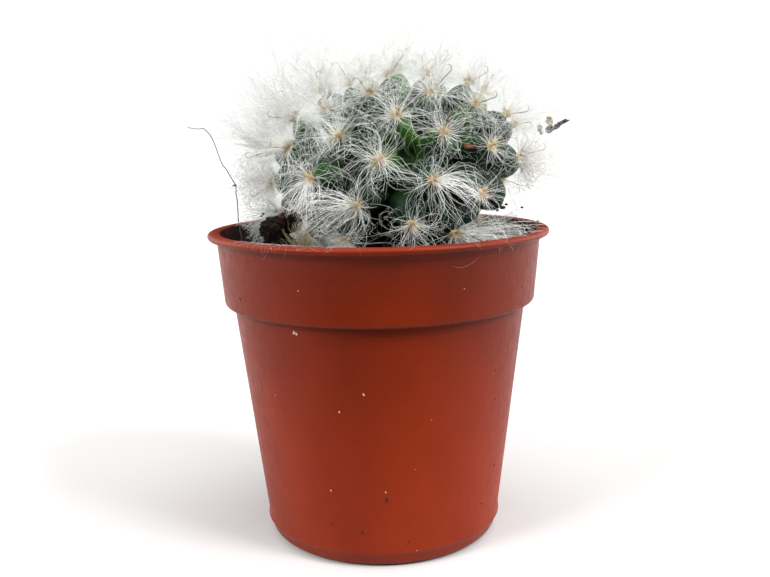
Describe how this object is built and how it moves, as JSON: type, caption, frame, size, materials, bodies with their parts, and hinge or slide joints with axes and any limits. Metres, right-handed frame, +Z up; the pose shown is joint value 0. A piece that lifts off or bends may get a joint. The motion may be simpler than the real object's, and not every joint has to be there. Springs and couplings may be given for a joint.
{
  "type": "potted powder puff cactus",
  "caption": "Low round cactus with woolly white hair and hooked spines on its tubercles, growing in a small tapered plastic plant pot with a collar.",
  "frame": {"origin": "on the surface that the pot stands on, at the pot's axis, in the middle of the flat pad under its base", "axes": "+Z up along the pot's axis, -Y towards the viewer of the picture, +X to the viewer's right"},
  "size_m": [0.0601, 0.0558, 0.0818],
  "materials": {
    "pot": "satin",
    "soil": "matte",
    "stem": "satin",
    "wool": "matte",
    "root_fibre": "matte"
  },
  "bodies": {
    "root": {"pot": "pot", "soil": "soil", "stem": "stem", "wool": "wool", "root_fibre": "root_fibre"}
  },
  "joints": []
}
